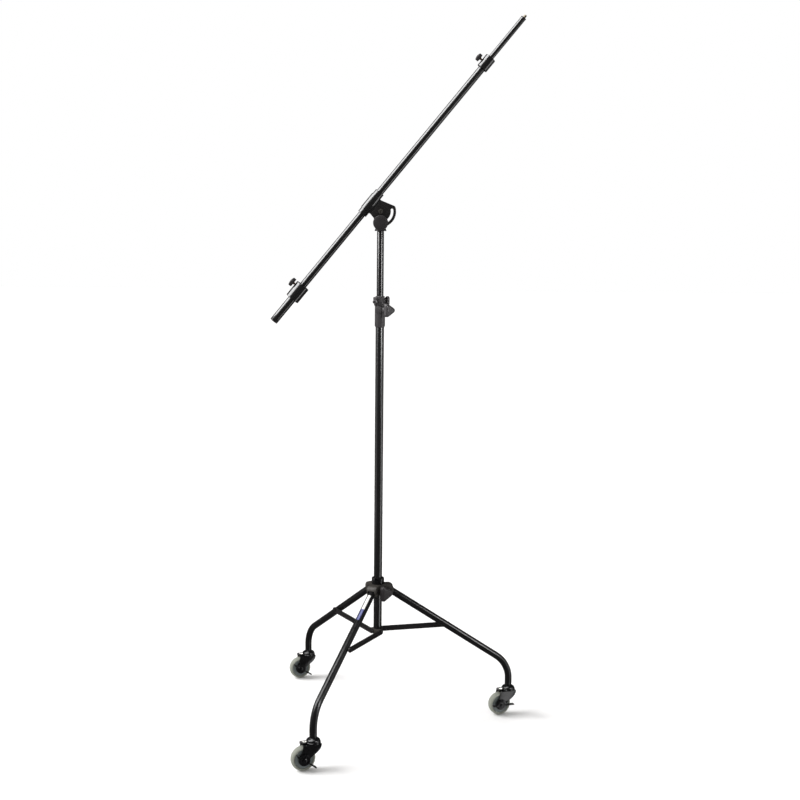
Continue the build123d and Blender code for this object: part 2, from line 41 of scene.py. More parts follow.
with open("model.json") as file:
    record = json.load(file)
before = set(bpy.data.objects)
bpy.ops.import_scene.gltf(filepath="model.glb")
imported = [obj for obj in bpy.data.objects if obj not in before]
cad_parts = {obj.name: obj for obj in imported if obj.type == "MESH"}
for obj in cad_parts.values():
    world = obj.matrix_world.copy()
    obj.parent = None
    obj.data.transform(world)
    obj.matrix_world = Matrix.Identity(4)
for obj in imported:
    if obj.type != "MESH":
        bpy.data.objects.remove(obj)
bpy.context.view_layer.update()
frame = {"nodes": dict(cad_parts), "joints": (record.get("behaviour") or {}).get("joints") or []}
NODES = frame["nodes"]
JOINTS = {joint["name"]: joint for joint in frame["joints"]}
SIDES = ("right", "back", "front")
UP = Vector((0, 0, 1))
MAST = Matrix.Identity(4)


# Sizes and colours that a user would change

def length(name, description, default):
    return bpy.props.FloatProperty(
        name=name, description=description, default=default, min=0.0, unit="LENGTH", subtype="DISTANCE"
    )


def colour(name, description, default):
    return bpy.props.FloatVectorProperty(
        name=name, description=description, default=default, min=0.0, max=1.0, size=3, subtype="COLOR"
    )


def amount(name, description, default):
    return bpy.props.FloatProperty(
        name=name, description=description, default=default, min=0.0, max=1.0, subtype="FACTOR"
    )


class StandSizes(bpy.types.PropertyGroup):
    tube_edge: length("Tube edge", "Rounding of every tube's cut ends", 0.0004)
    cast_edge: length("Casting edge", "Rounding of the leg collar's and the brackets' edges", 0.0009)
    sheet_edge: length("Sheet edge", "Rounding of the edges of pressed and cut steel", 0.0004)
    mould_edge: length("Moulding edge", "Rounding of the edges of moulded plastic", 0.0007)
    leg_wall: length("Leg wall", "Wall thickness of the leg tubes", 0.002)
    leg_bend: length("Leg bend", "Bend radius of the leg's centre line", 0.095)
    leg_tail: length("Leg tail", "Tube beyond the leg's pivot, towards the mast", 0.008)
    leg_slope: bpy.props.FloatProperty(
        name="Leg slope", description="Slope of the spread leg below the horizontal",
        default=math.radians(33.2), min=0.1, max=1.5, subtype="ANGLE",
    )
    stud_pitch: length("Stud pitch", "Pitch of the 3/8 inch stud's thread, 16 to the inch", 0.0015875)
    screw_pitch: length("Screw pitch", "Pitch of the thumb screws' threads", 0.001)
    label_start: length("Label start", "From the front leg's pivot to the plain label", 0.028)
    label_length: length("Label length", "Length of the plain label along the front leg", 0.103)


class StandColours(bpy.types.PropertyGroup):
    tube: colour("Tube", "Gloss black coat of the tubes", (0.0065, 0.0062, 0.0065))
    casting: colour("Casting", "Satin black coat of the castings", (0.034, 0.030, 0.026))
    steel: colour("Sheet steel", "Satin black coat of the braces, cheeks and strap", (0.012, 0.0105, 0.011))
    plastic: colour("Plastic", "Moulded clamp and its knobs", (0.042, 0.038, 0.0405))
    dark_plastic: colour(
        "Dark plastic", "Moulded tilt knob, flared ring and thumb grips", (0.022, 0.019, 0.0205))
    gloss: colour(
        "Caster black", "Gloss coat of the caster's fork, dome and pedal", (0.0045, 0.0045, 0.005))
    bush: colour("Bush", "Moulded bushes and end plugs", (0.02, 0.02, 0.02))
    zinc: colour("Zinc", "Zinc-plated steel", (0.60, 0.59, 0.56))
    brass: colour("Brass", "Turned shanks of the thumb screws", (0.62, 0.36, 0.20))
    stud: colour("Stud", "Dull pale brass of the tip's stud", (0.42, 0.38, 0.31))
    tread: colour("Tread", "Rubber of the wheels", (0.215, 0.225, 0.19))
    core: colour("Wheel core", "Moulded core of the wheels", (0.125, 0.145, 0.143))
    label: colour("Label", "Plain label's film", (0.80, 0.80, 0.78))
    label_band: colour("Label band", "Plain band at the label's end", (0.035, 0.045, 0.20))
    floor: colour("Floor", "Studio floor", (0.93, 0.93, 0.93))
    tube_shine: amount("Tube coat", "Clear coat over the tubes' paint", 0.55)
    wear: amount("Edge wear", "How far the coat is rubbed on edges", 0.30)


# Finishes

def finish(name, base, rough, grain, depth, mottle=0.12, draw=1.0, lean=0.0, wear=None, **sockets):
    """A finish with mottled colour, uneven roughness, a fine grain and, if asked, rubbed edges.

    The grain can be drawn out along z, or along a line that leans from z towards x."""
    old = bpy.data.materials.get(name)
    if old:
        return old
    material = bpy.data.materials.new(name)
    material.use_nodes = True
    nodes, links = material.node_tree.nodes, material.node_tree.links
    shader = nodes["Principled BSDF"]
    for socket, value in sockets.items():
        shader.inputs[socket.replace("_", " ")].default_value = value

    coords = nodes.new("ShaderNodeTexCoord")
    mapping = nodes.new("ShaderNodeMapping")
    mapping.vector_type = "TEXTURE"
    mapping.inputs["Rotation"].default_value = (0, lean, 0)
    mapping.inputs["Scale"].default_value = (1, 1, draw)
    links.new(coords.outputs["Object"], mapping.inputs["Vector"])

    def noise(scale, detail, source):
        made = nodes.new("ShaderNodeTexNoise")
        made.inputs["Scale"].default_value = scale
        made.inputs["Detail"].default_value = detail
        links.new(source, made.inputs["Vector"])
        return made.outputs["Fac"]

    ramp = nodes.new("ShaderNodeValToRGB")
    ramp.color_ramp.elements[0].position, ramp.color_ramp.elements[1].position = 0.3, 0.7
    ramp.color_ramp.elements[0].color = (*[c * (1 - mottle) for c in base], 1)
    ramp.color_ramp.elements[1].color = (*[min(1, c * (1 + mottle)) for c in base], 1)
    links.new(noise(22, 5, coords.outputs["Object"]), ramp.inputs["Fac"])
    painted = ramp.outputs["Color"]

    spread = nodes.new("ShaderNodeMapRange")
    spread.inputs["From Min"].default_value, spread.inputs["From Max"].default_value = 0.3, 0.7
    spread.inputs["To Min"].default_value, spread.inputs["To Max"].default_value = rough
    links.new(noise(65, 6, mapping.outputs["Vector"]), spread.inputs["Value"])
    dullness = spread.outputs["Result"]

    if wear:
        strength, bare = wear
        geometry = nodes.new("ShaderNodeNewGeometry")
        edge = nodes.new("ShaderNodeMapRange")
        edge.inputs["From Min"].default_value, edge.inputs["From Max"].default_value = 0.53, 0.62
        edge.inputs["To Max"].default_value = strength
        links.new(geometry.outputs["Pointiness"], edge.inputs["Value"])
        chips = nodes.new("ShaderNodeMath")
        chips.operation = "MULTIPLY"
        links.new(edge.outputs["Result"], chips.inputs[0])
        links.new(noise(160, 4, coords.outputs["Object"]), chips.inputs[1])
        rub = nodes.new("ShaderNodeMix")
        rub.data_type = "RGBA"
        links.new(chips.outputs["Value"], rub.inputs["Factor"])
        links.new(painted, rub.inputs["A"])
        rub.inputs["B"].default_value = (*bare, 1)
        painted = rub.outputs["Result"]
    links.new(painted, shader.inputs["Base Color"])
    links.new(dullness, shader.inputs["Roughness"])

    bump = nodes.new("ShaderNodeBump")
    bump.inputs["Strength"].default_value = 1.0
    bump.inputs["Distance"].default_value = depth
    links.new(noise(grain, 3, mapping.outputs["Vector"]), bump.inputs["Height"])
    links.new(bump.outputs["Normal"], shader.inputs["Normal"])
    return material


def colours():
    return bpy.context.scene.stand_colours


def sizes():
    return bpy.context.scene.stand_sizes


def mast_coat():
    c = colours()
    return finish("mast_gloss_coat", c.tube, (0.24, 0.27), 300, 0.0000002, draw=14,
                  Coat_Weight=c.tube_shine, Coat_Roughness=0.2, Specular_IOR_Level=0.45)


def boom_coat():
    c = colours()
    lean = math.atan2(BOOM_AXIS.x, BOOM_AXIS.z)
    return finish("boom_gloss_coat", c.tube, (0.23, 0.28), 300, 0.0000004, draw=14, lean=lean,
                  Coat_Weight=c.tube_shine, Coat_Roughness=0.07, Specular_IOR_Level=0.45)


def leg_coat():
    c = colours()
    return finish("leg_gloss_coat", c.tube, (0.27, 0.34), 300, 0.0000015, Coat_Weight=0.15,
                  Coat_Roughness=0.11, Specular_IOR_Level=0.2)


def casting_coat():
    c = colours()
    return finish("satin_casting", c.casting, (0.46, 0.60), 700, 0.00016, mottle=0.18,
                  wear=(c.wear, (0.10, 0.095, 0.085)), Specular_IOR_Level=0.22)


def steel_coat():
    c = colours()
    return finish("satin_sheet_steel", c.steel, (0.40, 0.55), 620, 0.0001, mottle=0.15,
                  wear=(c.wear, (0.09, 0.088, 0.085)), Specular_IOR_Level=0.16)


def knob_plastic():
    return finish("moulded_satin_plastic", colours().plastic, (0.44, 0.56), 1500, 0.00009, mottle=0.10,
                  wear=(0.2, (0.07, 0.068, 0.07)), Specular_IOR_Level=0.45)


def dark_plastic():
    return finish("moulded_dark_plastic", colours().dark_plastic, (0.44, 0.56), 1500, 0.00009, mottle=0.12,
                  wear=(0.2, (0.05, 0.047, 0.048)), Specular_IOR_Level=0.20)


def caster_gloss():
    return finish("gloss_caster_black", colours().gloss, (0.16, 0.26), 260, 0.00004, mottle=0.1,
                  Coat_Weight=0.15, Coat_Roughness=0.08, Specular_IOR_Level=0.25)


def bush_plastic():
    return finish("bush_plastic", colours().bush, (0.42, 0.52), 1300, 0.00006, mottle=0.08)


def zinc():
    return finish("zinc_plate", colours().zinc, (0.26, 0.44), 900, 0.00004, mottle=0.14, Metallic=1.0)


def brass():
    return finish("turned_brass", colours().brass, (0.26, 0.38), 1200, 0.00003, mottle=0.10, Metallic=1.0)


def pale_brass():
    return finish("dull_pale_brass", colours().stud, (0.38, 0.50), 1200, 0.00003, mottle=0.12, Metallic=1.0)


def tread_rubber():
    return finish("tread_rubber", colours().tread, (0.62, 0.80), 520, 0.00022, mottle=0.09,
                  Specular_IOR_Level=0.35, Sheen_Weight=0.12)


def core_plastic():
    return finish("wheel_core_plastic", colours().core, (0.40, 0.52), 900, 0.00010, mottle=0.08)


def label_film():
    return finish("label_film", colours().label, (0.30, 0.40), 300, 0.00002, mottle=0.03)


def label_band_film():
    return finish("label_band_film", colours().label_band, (0.30, 0.40), 300, 0.00002, mottle=0.05)


# Places and measures, all read from the frame

def place(origin, along, side=None):
    """Axes at origin, with z along one direction and x as near as can be to another."""
    z = Vector(along).normalized()
    x = Vector(side) if side else (UP if abs(z.z) < 0.9 else Vector((1, 0, 0)))
    x = (x - z * x.dot(z)).normalized()
    axes = Matrix((x, z.cross(x), z)).transposed().to_4x4()
    axes.translation = Vector(origin)
    return axes


def at_joint(name):
    """Axes at a joint, with z along its axis."""
    return place(JOINTS[name]["pos_m"], JOINTS[name]["axis"])


def at_leg(side):
    """Axes on the floor under the mast, with x out along one leg and z up."""
    hinge = Vector(JOINTS[f"leg_hinge_{side}"]["axis"])
    return place((0, 0, 0), UP, hinge.cross(UP))


def at_caster(side):
    """Axes at one wheel's middle, with z along the axle to the pedal's side and y up."""
    hub = JOINTS[f"wheel_spin_{side}"]
    return place(hub["pos_m"], hub["axis"], Vector(hub["axis"]).cross(UP) * -1)


def reach(node, at):
    """Lowest and highest corner of a CAD node in the axes of a place."""
    back = at.inverted()
    points = [back @ vertex.co for vertex in NODES[node].data.vertices]
    low = Vector([min(p[i] for p in points) for i in range(3)])
    return low, Vector([max(p[i] for p in points) for i in range(3)])


def span(node, at, radius):
    """Lowest and highest point, along a place's z, of the part of a CAD node that lies near its origin."""
    back = at.inverted()
    near = [back @ v.co for v in NODES[node].data.vertices]
    own = [p.z for p in near if p.xy.length < radius and abs(p.z) < 0.03]
    return min(own), max(own)


def farthest(node, at):
    """Radius and angle of a CAD node's outermost point about a place's z."""
    back = at.inverted()
    point = max((back @ v.co for v in NODES[node].data.vertices), key=lambda p: p.xy.length)
    return point.xy.length, math.atan2(point.y, point.x)


BOOM_AXIS = Vector(JOINTS["boom_slide"]["axis"])
BOOM = place(sum(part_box("boom_tube"), Vector()) / 2, BOOM_AXIS, (0, 0, -1))


# Shapes

def lathe(profile, steps=64, closed=False):
    """Spins (radius, height) points round z."""
    bm = bmesh.new()
    verts = [bm.verts.new((r, 0, z)) for r, z in profile]
    edges = [bm.edges.new(pair) for pair in zip(verts, verts[1:] + verts[:1] if closed else verts[1:])]
    bmesh.ops.spin(bm, geom=verts + edges, cent=(0, 0, 0), axis=(0, 0, 1), angle=math.tau, steps=steps,
                   use_merge=True)
    bmesh.ops.remove_doubles(bm, verts=bm.verts, dist=1e-6)
    bmesh.ops.recalc_face_normals(bm, faces=bm.faces)
    return bm


def soften(bm, width, segments=2, above=28.0):
    """Rounds every edge that turns more sharply than an angle in degrees."""
    limit = math.radians(above)
    sharp = [edge for edge in bm.edges if edge.is_manifold and edge.calc_face_angle(0) > limit]
    bmesh.ops.bevel(bm, geom=sharp, offset=width, offset_type="OFFSET", affect="EDGES", segments=segments,
                    profile=0.5, material=-1, clamp_overlap=True, loop_slide=True)
    return bm


def tube(outer, inner, low, high, edge, steps=96):
    """A cut length of tube on z."""
    bm = lathe([(outer, low), (outer, high), (inner, high), (inner, low)], steps, closed=True)
    return soften(bm, edge)


def washer(outer, inner, low, high, steps=48):
    return tube(outer, inner, low, high, min(0.0003, (high - low) * 0.3), steps)


def hexagon(across, low, high, edge=0.0006):
    """A six-sided head or nut on z, with its corners turned off."""
    bm = bmesh.new()
    radius = across / math.sqrt(3)
    bmesh.ops.create_cone(bm, cap_ends=True, segments=6, radius1=radius, radius2=radius, depth=high - low)
    bmesh.ops.translate(bm, vec=(0, 0, (low + high) / 2), verts=bm.verts)
    return soften(bm, edge)


def slab(low, high, edge):
    """A block between two corners."""
    bm = bmesh.new()
    bmesh.ops.create_cube(bm, size=1)
    low, high = Vector(low), Vector(high)
    bmesh.ops.scale(bm, vec=high - low, verts=bm.verts)
    bmesh.ops.translate(bm, vec=(low + high) / 2, verts=bm.verts)
    return soften(bm, edge)


def thread(radius, pitch, low, high, steps=28):
    """A screw thread on z, one closed skin from low to high."""
    turns = int((high - low) / pitch) - 1
    root = radius - 0.6 * pitch
    bm = bmesh.new()
    outline = [(root, 0), (radius, 0.42 * pitch), (radius, 0.58 * pitch), (root, pitch)]
    verts = [bm.verts.new((r, 0, low + z)) for r, z in outline]
    edges = [bm.edges.new(pair) for pair in zip(verts, verts[1:])]
    bmesh.ops.spin(bm, geom=verts + edges, cent=(0, 0, 0), axis=(0, 0, 1), dvec=(0, 0, pitch / steps),
                   angle=math.tau * turns, steps=steps * turns)
    bmesh.ops.remove_doubles(bm, verts=bm.verts, dist=pitch * 0.005)
    bmesh.ops.holes_fill(bm, edges=[edge for edge in bm.edges if edge.is_boundary])
    bmesh.ops.recalc_face_normals(bm, faces=bm.faces)
    return bm


def from_cad(node, edge, segments=2, above=28.0):
    """A copy of a CAD node's mesh, merged and with its sharp edges rounded."""
    bm = bmesh.new()
    bm.from_mesh(NODES[node].data)
    bmesh.ops.remove_doubles(bm, verts=bm.verts, dist=2e-6)
    bmesh.ops.dissolve_limit(bm, angle_limit=math.radians(0.6), verts=bm.verts, edges=bm.edges)
    return soften(bm, edge, segments, above)


def shape_round(bm, share, inner=0.0):
    """Scales each point's radius by share(angle), fading in from an inner radius."""
    outer = max(vertex.co.xy.length for vertex in bm.verts)
    for vertex in bm.verts:
        radius = vertex.co.xy.length
        if radius > inner:
            full = share(math.atan2(vertex.co.y, vertex.co.x))
            part = 1 + (full - 1) * min(1, (radius - inner) / (outer - inner) * 1.6)
            vertex.co.x *= part
            vertex.co.y *= part
    return bm


def rounded_triangle(angle, corner=0.36):
    """Radius at an angle, as a share of the farthest, of a triangle with round corners."""
    third = math.tau / 3
    off = abs((angle + third / 2) % third - third / 2)
    middle = 1 - corner
    if off < math.atan2(corner * math.sin(third / 2), middle + corner * math.cos(third / 2)):
        return middle * math.cos(off) + math.sqrt(corner ** 2 - (middle * math.sin(off)) ** 2)
    return (middle * math.cos(third / 2) + corner) / math.cos(third / 2 - off)


def three_sided_grip(radius, low, high, turn, hollow):
    """A crowned three-sided grip on z, hollow and ribbed at the back by a share of its depth."""
    deep = high - low
    floor = low + hollow * deep
    profile = [
        (0, low), (0.30 * radius, low), (0.31 * radius, floor), (0.82 * radius, floor),
        (0.85 * radius, low + 0.02 * deep), (0.955 * radius, low + 0.02 * deep), (radius, low + 0.14 * deep),
        (radius, low + 0.50 * deep), (0.975 * radius, low + 0.66 * deep), (0.91 * radius, low + 0.80 * deep),
        (0.80 * radius, low + 0.90 * deep), (0.62 * radius, low + 0.96 * deep), (0.34 * radius, high - 0.012 * deep),
        (0.16 * radius, high), (0, high),
    ]
    grip = soften(lathe(profile, 120), 0.0008, 3, 20)
    grip = shape_round(grip, lambda a: rounded_triangle(a - turn), 0.30 * radius)
    ribs = []
    for i in range(3):
        rib = slab((0.28 * radius, -0.0007, low + 0.0006), (0.83 * radius, 0.0007, floor + 0.0004), 0.0002)
        ribs.append(moved(rib, Matrix.Rotation(turn + math.tau * i / 3, 4, "Z")))
    return joined(grip, *ribs)


def fluted_grip(profile, flutes, depth, steps):
    """A turned grip with shallow flutes round its rim."""
    bm = soften(lathe(profile, steps), 0.0005, 2, 20)
    rim = max(r for r, _ in profile)
    return shape_round(bm, lambda angle: 1 - depth * (0.5 + 0.5 * math.cos(flutes * angle)), 0.82 * rim)


# Pieces

def piece(name, bm, at, body, slot, material, *nodes, sharp=30.0):
    """Makes a bmesh into a piece of the object that rides on a body, and may stand for CAD nodes."""
    bmesh.ops.transform(bm, matrix=at, verts=bm.verts)
    bmesh.ops.recalc_face_normals(bm, faces=bm.faces)
    mesh = bpy.data.meshes.new(name)
    bm.to_mesh(mesh)
    bm.free()
    mesh.shade_smooth()
    mesh.set_sharp_from_angle(angle=math.radians(sharp))
    mesh.materials.append(material)
    obj = bpy.data.objects.new(name, mesh)
    bpy.context.scene.collection.objects.link(obj)
    if nodes:
        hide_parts(*nodes)
    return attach(obj, body)


def joined(*shapes):
    """Several shapes as one bmesh of separate skins."""
    whole = bmesh.new()
    for bm in shapes:
        mesh = bpy.data.meshes.new("part")
        bm.to_mesh(mesh)
        bm.free()
        whole.from_mesh(mesh)
        bpy.data.meshes.remove(mesh)
    return whole


def moved(bm, matrix):
    bmesh.ops.transform(bm, matrix=matrix, verts=bm.verts)
    return bm


def rounded_copy(name, node, body, slot, material, edge, **options):
    """A CAD node's shape with rounded edges, standing for it."""
    return piece(name, from_cad(node, edge, **options), MAST, body, slot, material, node)


# Operators, one for each group of pieces

class STAND_OT_mast(bpy.types.Operator):
    """Lower and upper mast tubes with their foot cap and inner plug"""
    bl_idname = "stand.mast"
    bl_label = "Mast"

    def execute(self, context):
        edge = sizes().tube_edge
        wall = 0.002
        for name, body in (("lower_mast_tube", "lower_mast"), ("upper_mast_tube", "upper_mast")):
            low, high = reach(name, MAST)
            bm = tube(high.x, high.x - wall, low.z, high.z, edge)
            piece(f"{name}_skin", bm, MAST, body, "black_tube", mast_coat(), name)
        low, high = reach("mast_foot_cap", MAST)
        collar = high.z - 0.014
        bm = lathe([
            (0, low.z), (high.x - 0.0022, low.z), (high.x, low.z + 0.0022), (high.x, collar - 0.0002),
            (high.x - 0.0021, collar), (high.x - 0.0021, high.z), (0, high.z),
        ])
        piece("mast_foot_plug", soften(bm, 0.0004), MAST, "lower_mast", "black_plastic", knob_plastic(),
              "mast_foot_cap")
        low, high = reach("upper_mast_plug", MAST)
        bm = lathe([
            (0, low.z), (high.x, low.z), (high.x, low.z + 0.010), (high.x - 0.0025, low.z + 0.010),
            (high.x - 0.0025, high.z), (0, high.z),
        ])
        piece("upper_mast_guide", soften(bm, 0.0005), MAST, "upper_mast", "natural_bush", bush_plastic(),
              "upper_mast_plug")
        return {"FINISHED"}


class STAND_OT_legs(bpy.types.Operator):
    """Three bent leg tubes with the stem plugs in their ends"""
    bl_idname = "stand.legs"
    bl_label = "Legs"

    def execute(self, context):
        s = sizes()
        for side in SIDES:
            at = at_leg(side)
            back = at.inverted()
            pivot = back @ Vector(JOINTS[f"leg_hinge_{side}"]["pos_m"])
            stem = back @ Vector(JOINTS[f"caster_swivel_{side}"]["pos_m"])
            low, high = reach(f"leg_tube_{side}", at)
            radius = high.y
            slope = s.leg_slope
            along = Vector((math.cos(slope), 0, -math.sin(slope)))
            start = pivot - along * s.leg_tail
            corner = start + along * ((stem.x - start.x) / along.x)
            turn = math.pi / 2 - slope
            tangent = s.leg_bend * math.tan(turn / 2)
            straight = (corner - start).length - tangent

            bm = bmesh.new()
            bmesh.ops.create_circle(bm, segments=72, radius=radius, matrix=place(start, along))
            ring = bm.edges[:]

            def run(edges, step):
                new = bmesh.ops.extrude_edge_only(bm, edges=edges)["geom"]
                verts = [g for g in new if isinstance(g, bmesh.types.BMVert)]
                bmesh.ops.translate(bm, vec=step, verts=verts)
                return [g for g in new if isinstance(g, bmesh.types.BMEdge)]

            ring = run(ring, along * straight)
            centre = Vector((stem.x - s.leg_bend, 0, corner.z - tangent))
            bent = bmesh.ops.spin(bm, geom=ring, cent=centre, axis=(0, 1, 0), angle=turn, steps=26)
            ring = [g for g in bent["geom_last"] if isinstance(g, bmesh.types.BMEdge)]
            run(ring, Vector((0, 0, low.z - centre.z)))
            bmesh.ops.remove_doubles(bm, verts=bm.verts, dist=1e-6)
            bmesh.ops.recalc_face_normals(bm, faces=bm.faces)
            bmesh.ops.solidify(bm, geom=bm.faces[:], thickness=s.leg_wall)
            piece(f"leg_{side}_tube", soften(bm, s.tube_edge), at, f"leg_{side}", "black_tube", leg_coat(),
                  f"leg_tube_{side}")

            plug_low, plug_high = reach(f"caster_stem_{side}", at)
            pin, foot = 0.005, plug_low.z
            rim, bore = pin + 0.003, radius - s.leg_wall - 0.0001
            bm = lathe([
                (0, foot), (rim, foot), (rim, foot + 0.003), (pin, foot + 0.0034),
                (pin, low.z), (bore, low.z), (bore, plug_high.z), (0, plug_high.z),
            ], 48)
            piece(f"stem_pin_{side}", soften(bm, 0.0004), at @ Matrix.Translation((stem.x, 0, 0)),
                  f"leg_{side}", "zinc_steel", zinc(), f"caster_stem_{side}")
        return {"FINISHED"}


class STAND_OT_leg_collar(bpy.types.Operator):
    """Sliding collar with its crown, the leg pins and the lock knob"""
    bl_idname = "stand.leg_collar"
    bl_label = "Leg collar"

    def execute(self, context):
        s = sizes()
        rounded_copy("leg_collar_casting", "leg_collar", "leg_collar", "black_casting",
                     casting_coat(), s.cast_edge)
        rounded_copy("collar_crown_ring", "collar_crown", "leg_collar", "black_casting",
                     caster_gloss(), 0.0007)
        pins = []
        for side in SIDES:
            at = at_joint(f"leg_hinge_{side}")
            tail, head = span("leg_pivot_pins", at, 0.0055)
            ear = head - 0.0024
            pins.append(moved(hexagon(0.0095, ear + 0.0005, head, 0.0005), at))
            pins.append(moved(washer(0.0055, 0.0031, ear, ear + 0.0006), at))
            dome = lathe([(0, tail), (0.0030, tail + 0.0003), (0.0046, tail + 0.0014), (0.0050, tail + 0.0026),
                          (0.0050, tail + 0.0030), (0, tail + 0.0030)], 40)
            pins.append(moved(dome, at))
            pins.append(moved(lathe([(0, tail + 0.0020), (0.003, tail + 0.0020), (0.003, head + 0.0004),
                                     (0.0026, head + 0.0008), (0, head + 0.0008)], 32), at))
        piece("leg_pins", joined(*pins), MAST, "leg_collar", "black_casting", steel_coat(), "leg_pivot_pins")
        knob_on_screw("leg_lock", "leg_lock_knob", "lock_knob_turn", "lock_knob", 0.017, coat=dark_plastic)
        return {"FINISHED"}


def knob_on_screw(name, node, joint, body, deep, screw_r=0.004, hollow=0.22, coat=knob_plastic):
    """A three-sided clamp knob on its steel screw, in place of a CAD knob."""
    at = at_joint(joint)
    low, high = reach(node, at)
    radius, turn = farthest(node, at)
    base = high.z - deep
    piece(f"{name}_grip", three_sided_grip(radius, base, high.z, turn, hollow), at, body, "black_plastic",
          coat(), node, sharp=50)
    screw = joined(thread(screw_r, 0.00125, low.z + 0.001, base + 0.003),
                   tube(screw_r + 0.0022, screw_r - 0.001, base - 0.0035, base + 0.001, 0.0003, 40))
    piece(f"{name}_screw", screw, at, body, "zinc_steel", zinc())


class STAND_OT_braces(bpy.types.Operator):
    """Channel braces, the foot bracket and its shouldered screws"""
    bl_idname = "stand.braces"
    bl_label = "Braces"

    def execute(self, context):
        s = sizes()
        for side in SIDES:
            rounded_copy(f"brace_{side}_channel", f"brace_bar_{side}", f"brace_{side}", "black_casting",
                         steel_coat(), s.sheet_edge)
        rounded_copy("foot_bracket", "mast_foot_bracket", "lower_mast", "black_casting", casting_coat(), 0.0007)
        heads = []
        for side in SIDES:
            at = at_joint(f"brace_hinge_{side}")
            at = at @ Matrix.Rotation(math.pi, 4, "X")
            low, high = span("brace_foot_pins", at, 0.006)
            heads.append(moved(lathe([
                (0, high), (0.0024, high - 0.0001), (0.0046, high - 0.0010), (0.0054, high - 0.0020),
                (0.0054, high - 0.0025), (0.0030, high - 0.0025), (0.0030, low), (0, low),
            ], 40), at))
        piece("foot_screws", joined(*heads), MAST, "lower_mast", "zinc_steel", steel_coat(), "brace_foot_pins")
        return {"FINISHED"}


class STAND_OT_height_clamp(bpy.types.Operator):
    """Height clamp at the top of the lower mast, with its bush and its three-sided knob"""
    bl_idname = "stand.height_clamp"
    bl_label = "Height clamp"

    def execute(self, context):
        s = sizes()
        rounded_copy("height_clamp_housing", "height_clamp_body", "lower_mast", "black_plastic", knob_plastic(),
                     s.mould_edge)
        rounded_copy("height_clamp_liner", "height_clamp_bush", "lower_mast", "natural_bush",
                     bush_plastic(), 0.0003)
        knob_on_screw("height_clamp", "height_clamp_knob", "height_knob_turn", "height_knob", 0.016)
        return {"FINISHED"}


class STAND_OT_stop_collar(bpy.types.Operator):
    """Stop ring on the upper mast, with its star nut and its knob"""
    bl_idname = "stand.stop_collar"
    bl_label = "Stop collar"

    def execute(self, context):
        rounded_copy("stop_ring", "stop_collar", "stop_collar", "black_plastic", knob_plastic(), 0.0005)
        at = at_joint("stop_knob_turn")
        rear = at @ Matrix.Rotation(math.pi, 4, "X")
        low, high = reach("stop_collar_nut", rear)
        radius, turn = farthest("stop_collar_nut", rear)
        star = lathe([
            (0, low.z), (radius * 0.94, low.z), (radius, low.z + 0.0012), (radius, low.z + 0.0033),
            (radius * 0.9, low.z + 0.0045), (0.0052, low.z + 0.0046), (0.0045, high.z - 0.0030),
            (0.0014, high.z), (0, high.z),
        ], 120)
        star = shape_round(soften(star, 0.0005, 2, 20),
                           lambda a: 0.68 + 0.32 * (0.5 + 0.5 * math.cos(5 * (a - turn))) ** 0.8, 0.0055)
        piece("stop_star_nut", star, rear, "stop_collar", "black_plastic", knob_plastic(), "stop_collar_nut")
        knob_on_screw("stop_collar", "stop_collar_knob", "stop_knob_turn", "stop_knob", 0.011, 0.003, 0.74)
        return {"FINISHED"}


